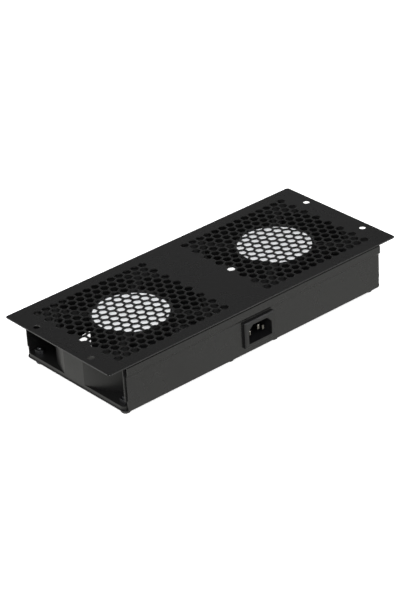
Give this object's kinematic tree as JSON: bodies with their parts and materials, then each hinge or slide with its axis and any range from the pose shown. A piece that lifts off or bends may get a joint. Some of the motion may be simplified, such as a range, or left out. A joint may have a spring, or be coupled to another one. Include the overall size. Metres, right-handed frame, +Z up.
{
  "type": "rack fan tray",
  "caption": "Flat fan tray for the top of a rack: perforated black cover plate over a shallow tray with axial mains fans side by side and a mains inlet in its front wall.",
  "frame": {"origin": "centre of the four fixing holes, in the underside of the cover plate", "axes": "+X along the plate, -Y out of the front wall that carries the mains inlet, +Z up, the way the air leaves"},
  "size_m": [0.3, 0.129, 0.0465],
  "materials": {
    "black_powder_coat": "fine textured powder coat, satin",
    "fan_casting": "painted die casting, satin",
    "fan_plastic": "moulded, matt",
    "bronze_bush": "sintered",
    "ground_steel": "ground",
    "rotor_steel": "turned",
    "lamination_steel": "stacked laminations",
    "copper_winding": "enamelled wire",
    "label": "silver-white film",
    "zinc_steel": "zinc plated",
    "guard_wire": "plated wire",
    "inlet_plastic": "moulded, fine grain",
    "nickel_pin": "nickel plated",
    "boot_rubber": "soft, matt"
  },
  "bodies": {
    "tray_body": {"cover": "black_powder_coat", "tray": "black_powder_coat", "fan_frame_left": "fan_casting", "bearing_bush_left": "bronze_bush", "stator_core_left": "lamination_steel", "stator_coils_left": "copper_winding", "motor_label_left": "label", "fan_screws_left": "zinc_steel", "fan_nuts_left": "zinc_steel", "finger_guard_left": "guard_wire", "fan_frame_right": "fan_casting", "bearing_bush_right": "bronze_bush", "stator_core_right": "lamination_steel", "stator_coils_right": "copper_winding", "motor_label_right": "label", "fan_screws_right": "zinc_steel", "fan_nuts_right": "zinc_steel", "finger_guard_right": "guard_wire", "inlet_housing": "inlet_plastic", "line_pin": "nickel_pin", "neutral_pin": "nickel_pin", "earth_pin": "nickel_pin", "inlet_boot": "boot_rubber", "earth_stud": "zinc_steel", "earth_nut": "zinc_steel"},
    "impeller_left": {"impeller_left": "fan_plastic", "shaft_left": "ground_steel", "retaining_clip_left": "ground_steel", "rotor_ring_left": "rotor_steel"},
    "impeller_right": {"impeller_right": "fan_plastic", "shaft_right": "ground_steel", "retaining_clip_right": "ground_steel", "rotor_ring_right": "rotor_steel"}
  },
  "joints": [
    {"name": "impeller_left_spin", "type": "hinge", "parent": "tray_body", "child": "impeller_left", "pos_m": [-0.0757, 0, -0.024], "axis": [0, 0, 1], "continuous": true},
    {"name": "impeller_right_spin", "type": "hinge", "parent": "tray_body", "child": "impeller_right", "pos_m": [0.0757, 0, -0.024], "axis": [0, 0, 1], "continuous": true}
  ]
}
